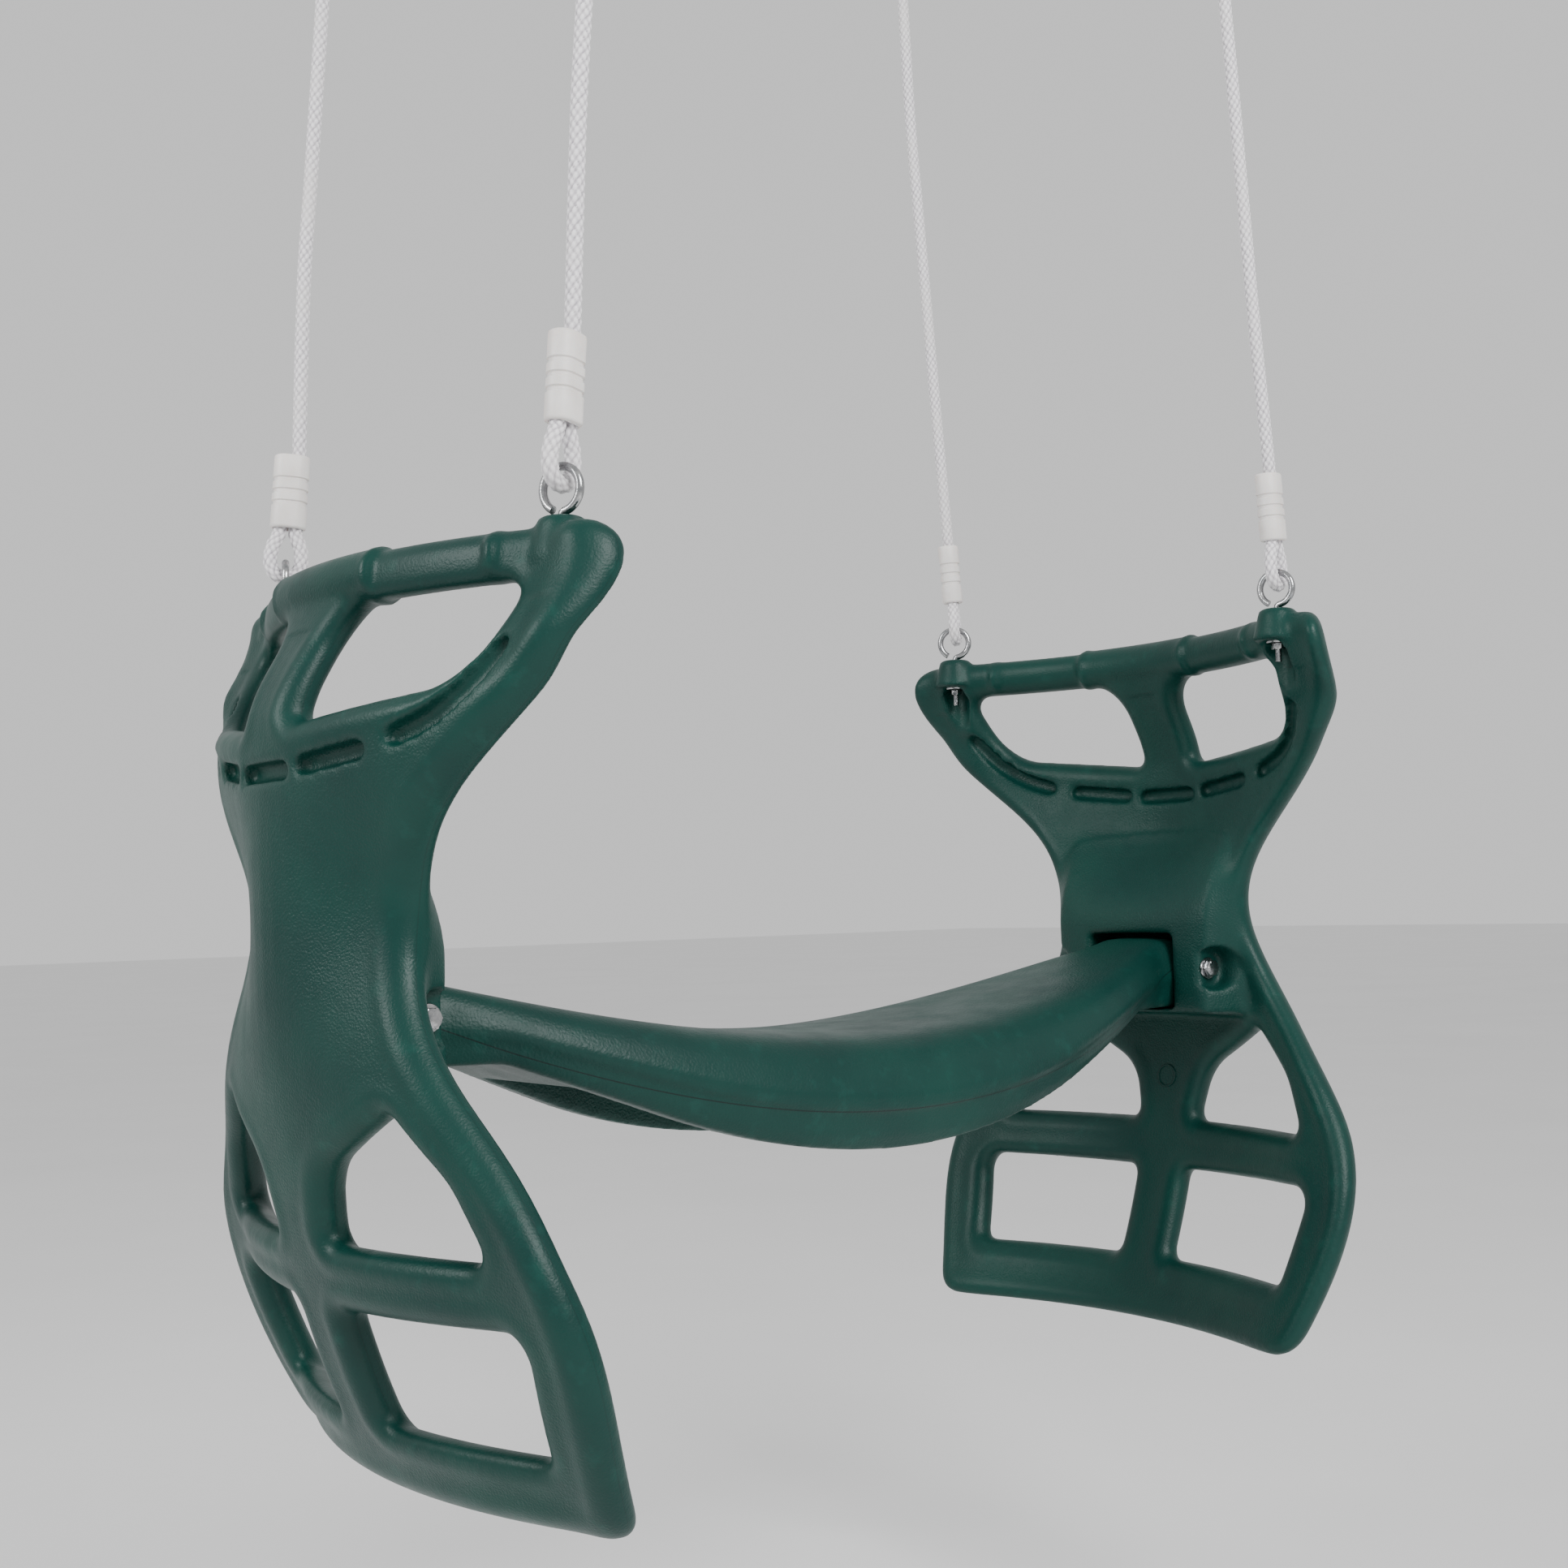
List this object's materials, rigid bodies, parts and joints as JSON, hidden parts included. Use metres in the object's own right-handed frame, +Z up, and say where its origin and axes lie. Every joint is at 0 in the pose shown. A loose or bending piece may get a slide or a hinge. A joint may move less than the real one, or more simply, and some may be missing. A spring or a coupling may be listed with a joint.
{
  "type": "glider swing",
  "caption": "Back-to-back glider swing: hourglass end panels with hand bars and foot rests, a saddle seat between them, and ropes on beam hangers.",
  "frame": {"origin": "centre of the four hanger plates, in the plane of their top faces, which meet the beam", "axes": "+Z up, X from the left end panel to the right one, +Y across the seat towards the far side"},
  "size_m": [0.92, 0.476, 1.395],
  "materials": {
    "moulded_green": "fine pebble grain, soft sheen",
    "zinc_plate": "bright zinc plate",
    "rope_white": "braided",
    "sleeve_white": "satin"
  },
  "bodies": {
    "hangers": {"beam_hanger_left_near": "zinc_plate", "beam_hanger_left_far": "zinc_plate", "beam_hanger_right_near": "zinc_plate", "beam_hanger_right_far": "zinc_plate"},
    "left_ropes": {"rope_left_near": "rope_white", "lower_sleeve_left_near": "sleeve_white", "upper_sleeve_left_near": "sleeve_white", "rope_left_far": "rope_white", "lower_sleeve_left_far": "sleeve_white", "upper_sleeve_left_far": "sleeve_white"},
    "glider": {"end_panel_left": "moulded_green", "end_panel_right": "moulded_green", "seat": "moulded_green", "seat_bolt_left": "zinc_plate", "seat_nut_left": "zinc_plate", "seat_washer_left_near": "zinc_plate", "seat_washer_left_far": "zinc_plate", "seat_bolt_right": "zinc_plate", "seat_nut_right": "zinc_plate", "seat_washer_right_near": "zinc_plate", "seat_washer_right_far": "zinc_plate", "eye_bolt_left_near": "zinc_plate", "eye_washer_left_near": "zinc_plate", "eye_nut_left_near": "zinc_plate", "eye_bolt_left_far": "zinc_plate", "eye_washer_left_far": "zinc_plate", "eye_nut_left_far": "zinc_plate", "eye_bolt_right_near": "zinc_plate", "eye_washer_right_near": "zinc_plate", "eye_nut_right_near": "zinc_plate", "eye_bolt_right_far": "zinc_plate", "eye_washer_right_far": "zinc_plate", "eye_nut_right_far": "zinc_plate"},
    "right_ropes": {"rope_right_near": "rope_white", "lower_sleeve_right_near": "sleeve_white", "upper_sleeve_right_near": "sleeve_white", "rope_right_far": "rope_white", "lower_sleeve_right_far": "sleeve_white", "upper_sleeve_right_far": "sleeve_white"}
  },
  "joints": [
    {"name": "glide", "type": "hinge", "parent": "hangers", "child": "left_ropes", "pos_m": [-0.295, 0, -0.045], "axis": [0, 1, 0], "range_deg": [-16, 16]},
    {"name": "glider_level", "type": "hinge", "parent": "left_ropes", "child": "glider", "pos_m": [-0.351, 0, -0.75745], "axis": [0, 1, 0], "range_deg": [-14, 14]},
    {"name": "right_rope_swing", "type": "hinge", "parent": "hangers", "child": "right_ropes", "pos_m": [0.295, 0, -0.045], "axis": [0, 1, 0], "range_deg": [-17, 17]}
  ],
  "couplings": [
    {"joint": "glider_level", "follows": "glide", "ratio": -0.8405},
    {"joint": "right_rope_swing", "follows": "glide", "ratio": 1}
  ]
}
